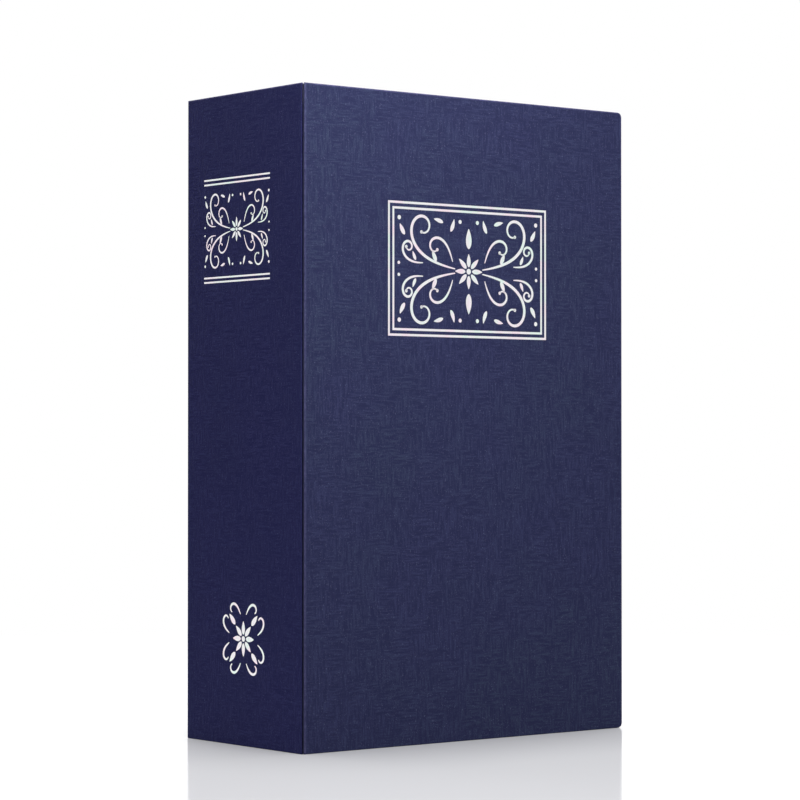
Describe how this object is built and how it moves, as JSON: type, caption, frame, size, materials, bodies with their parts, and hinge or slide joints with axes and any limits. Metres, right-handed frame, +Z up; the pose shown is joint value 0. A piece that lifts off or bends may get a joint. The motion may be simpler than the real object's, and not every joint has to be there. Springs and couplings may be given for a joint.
{
  "type": "book diversion safe",
  "caption": "Hardback book case that opens to a page block round a coated steel box with a hinged door, a cam lock and keys on a split ring.",
  "frame": {"origin": "middle of the closed book's footprint, on the surface that it stands on", "axes": "+Z up along the spine, +X from the spine to the fore-edge, -Y out of the front cover"},
  "size_m": [0.155, 0.073, 0.24],
  "materials": {
    "cover_paper": "embossed navy covering paper, semi-matt",
    "board": "plain grey board",
    "endpaper": "matt cream paper",
    "joint_cloth": "dark cloth",
    "pages": "cut page edges",
    "coated_steel": "grey textured powder coat",
    "bright_steel": "zinc plated",
    "lock_chrome": "polished",
    "brass": "plain",
    "key_blade": "worn nickel plate over brass",
    "key_plastic": "black moulded plastic",
    "ring_steel": "bright plated wire"
  },
  "bodies": {
    "case": {"back_cover_paper": "cover_paper", "back_board": "board", "back_endpaper": "endpaper", "spine_cover_paper": "cover_paper", "spine_board": "board", "spine_lining": "endpaper", "front_joint_strip": "joint_cloth", "page_block_fore_edge": "pages", "page_block_bottom": "pages", "page_block_top": "pages", "steel_box": "coated_steel", "strike_plate": "coated_steel", "box_hinge_leaf": "bright_steel", "hinge_pin": "bright_steel", "box_rivet_1": "bright_steel", "box_rivet_2": "bright_steel", "box_rivet_3": "bright_steel"},
    "front_cover": {"front_cover_paper": "cover_paper", "front_board": "board", "front_endpaper": "endpaper"},
    "door": {"safe_door": "coated_steel", "door_hinge_leaf": "bright_steel", "door_rivet_1": "bright_steel", "door_rivet_2": "bright_steel", "door_rivet_3": "bright_steel", "lock_housing": "lock_chrome", "lock_washer": "bright_steel", "lock_nut": "bright_steel"},
    "lock_plug": {"lock_plug": "lock_chrome", "lock_wafer_1": "brass", "lock_wafer_2": "brass", "lock_wafer_3": "brass", "lock_wafer_4": "brass", "lock_wafer_5": "brass", "lock_cam": "bright_steel", "cam_washer": "bright_steel", "cam_screw": "bright_steel"},
    "key_ring": {"key_ring": "ring_steel"},
    "key_a": {"key_a_blade": "key_blade", "key_a_head": "key_plastic"},
    "key_b": {"key_b_blade": "key_blade", "key_b_head": "key_plastic"}
  },
  "joints": [
    {"name": "cover_swing", "type": "hinge", "parent": "case", "child": "front_cover", "pos_m": [-0.0775, -0.0365, 0.12], "axis": [0, 0, -1], "range_deg": [0, 180]},
    {"name": "door_swing", "type": "hinge", "parent": "case", "child": "door", "pos_m": [-0.0708, -0.03035, 0.12], "axis": [0, 0, -1], "range_deg": [0, 105]},
    {"name": "lock_turn", "type": "hinge", "parent": "door", "child": "lock_plug", "pos_m": [0.04, -0.02, 0.12], "axis": [0, -1, 0], "range_deg": [0, 90]},
    {"name": "keys_lift", "type": "slide", "parent": "case", "child": "key_ring", "axis": [0, 0, 1], "range_m": [0, 0.1]},
    {"name": "key_a_swing", "type": "hinge", "parent": "key_ring", "child": "key_a", "pos_m": [-0.02, 0.0095, 0.0267], "axis": [0, -1, 0], "range_deg": [0, 75]},
    {"name": "key_b_swing", "type": "hinge", "parent": "key_ring", "child": "key_b", "pos_m": [-0.02, 0.0185, 0.0267], "axis": [0, -1, 0], "range_deg": [0, 75]}
  ],
  "couplings": [
    {"joint": "door_swing", "follows": "cover_swing", "ratio": 0.58}
  ]
}
